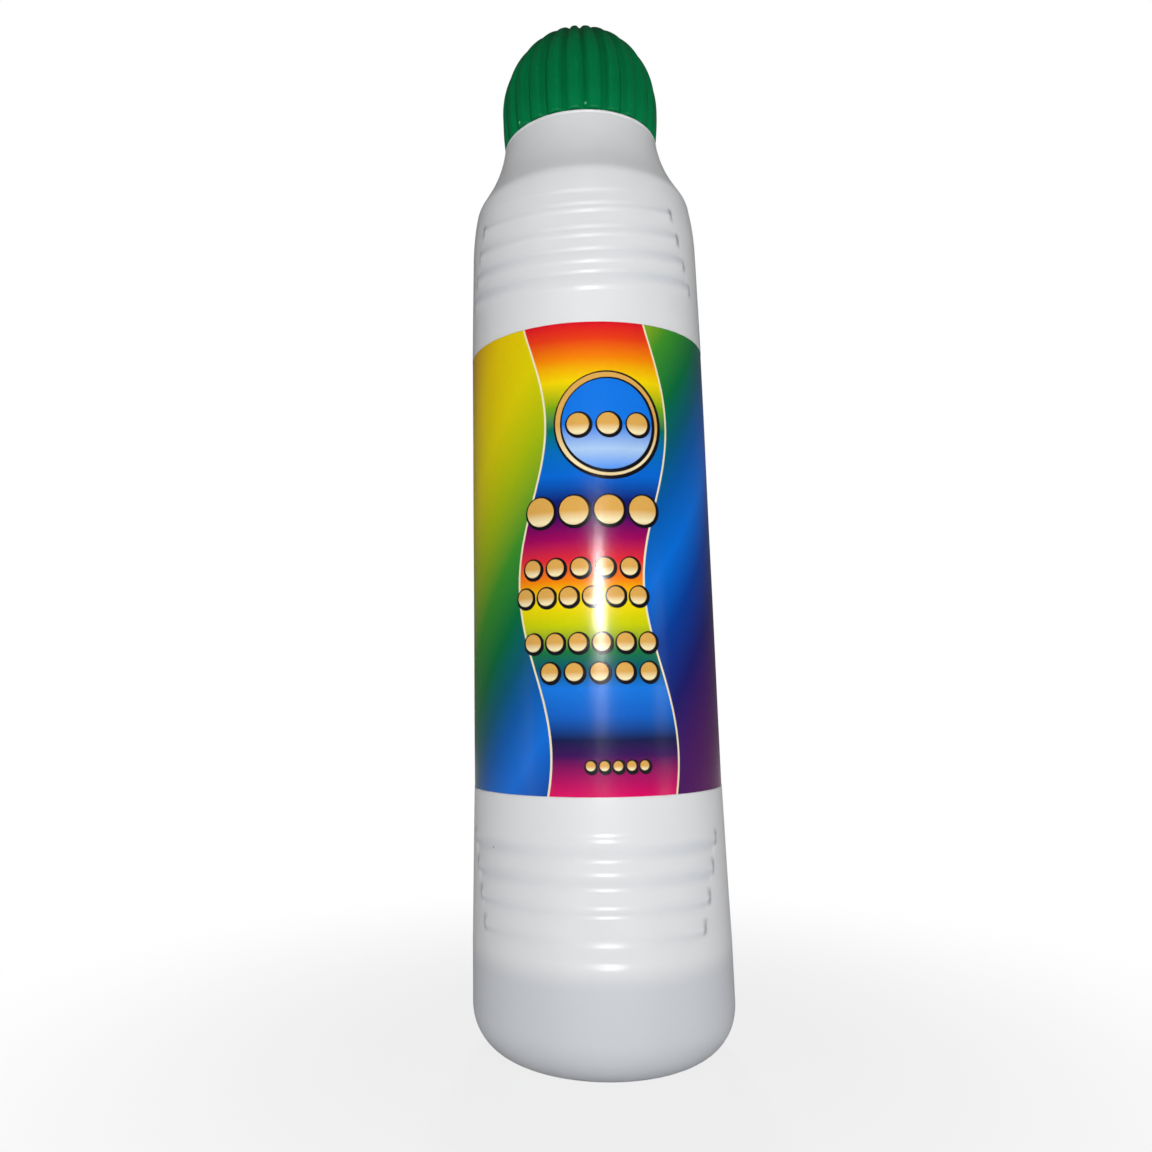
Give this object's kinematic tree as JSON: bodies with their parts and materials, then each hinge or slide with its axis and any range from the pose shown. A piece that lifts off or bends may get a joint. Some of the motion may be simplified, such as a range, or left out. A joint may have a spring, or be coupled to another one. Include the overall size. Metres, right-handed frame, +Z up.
{
  "type": "bingo dauber",
  "caption": "Squeeze-bottle ink dauber with ring grips, a wrapped label, a fluted dome screw cap and a sprung, valved sponge tip for dotting paper.",
  "frame": {"origin": "centre of the ring that the bottle stands on", "axes": "+Z up the bottle's axis to the cap, -Y out of the front grip panel, +X to the right of it"},
  "size_m": [0.0358, 0.0358, 0.1534],
  "materials": {
    "bottle_plastic": "satin white blow-moulded polyethylene",
    "label_film": "glossy film printed with a spectrum",
    "cap_plastic": "satin green moulded plastic",
    "seal_foam": "pale soft foam",
    "tip_plastic": "plain natural moulded plastic",
    "cover_knit": "fine knit stained by green ink",
    "sponge_foam": "open foam soaked with green ink",
    "washer_rubber": "black rubber",
    "spring_steel": "drawn steel wire",
    "ink": "liquid green ink"
  },
  "bodies": {
    "bottle": {"bottle": "bottle_plastic", "label": "label_film", "dauber_housing": "tip_plastic", "clamp_ring": "tip_plastic", "spring_retainer": "tip_plastic", "return_spring": "spring_steel", "ink_charge": "ink"},
    "tip": {"valve_stem": "tip_plastic", "valve_washer": "washer_rubber", "sponge": "sponge_foam", "sponge_cover": "cover_knit"},
    "seal": {"cap_seal_ring": "seal_foam"},
    "cap": {"cap": "cap_plastic"}
  },
  "joints": [
    {"name": "tip_press", "type": "slide", "parent": "bottle", "child": "tip", "axis": [0, 0, -1], "range_m": [0, 0.0018], "stiffness_N_per_m": 1500, "springref_m": -0.001, "deforming": ["sponge", "sponge_cover", "return_spring"]},
    {"name": "cap_lift", "type": "slide", "parent": "bottle", "child": "seal", "axis": [0, 0, 1], "range_m": [0, 0.02]},
    {"name": "cap_turn", "type": "hinge", "parent": "seal", "child": "cap", "pos_m": [0, 0, 0.1335], "axis": [0, 0, 1], "range_deg": [0, 2250]}
  ],
  "couplings": [
    {"joint": "cap_lift", "follows": "cap_turn", "m_per_rad": 0.00050929}
  ]
}
